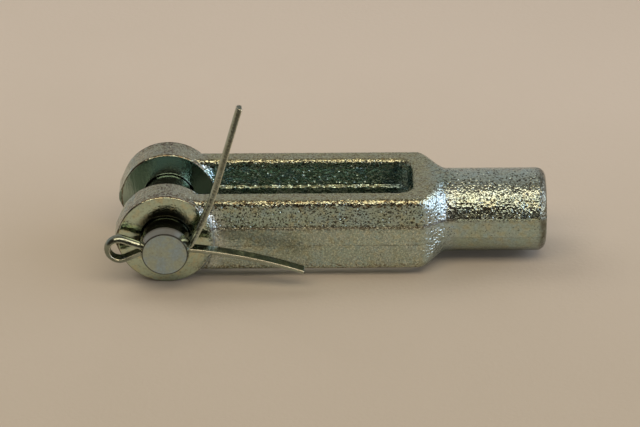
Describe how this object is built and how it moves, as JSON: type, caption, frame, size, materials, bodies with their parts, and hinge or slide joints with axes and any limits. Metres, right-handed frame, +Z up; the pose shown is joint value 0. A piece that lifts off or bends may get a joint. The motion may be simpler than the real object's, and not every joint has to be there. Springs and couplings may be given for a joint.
{
  "type": "clevis rod end",
  "caption": "Forged fork end for a control rod, with a threaded barrel, a headed clevis pin across its ears and a split cotter pin bent open to keep it in.",
  "frame": {"origin": "middle of the pin bore, half way between the two ears", "axes": "+X along the barrel towards its threaded mouth, +Y along the pin towards its head, +Z up"},
  "size_m": [0.0823, 0.031, 0.0369],
  "materials": {
    "forging": "zinc plated over shot-blasted forging",
    "turned_pin": "zinc plated, turned smooth",
    "drawn_wire": "bright zinc plated wire"
  },
  "bodies": {
    "yoke": {"clevis_body": "forging"},
    "pin": {"clevis_pin": "turned_pin", "cotter_pin": "drawn_wire"}
  },
  "joints": [
    {"name": "pin_turn", "type": "hinge", "parent": "yoke", "child": "pin", "pos_m": [0, 0, -0.00005], "axis": [0, 1, 0], "continuous": true}
  ]
}
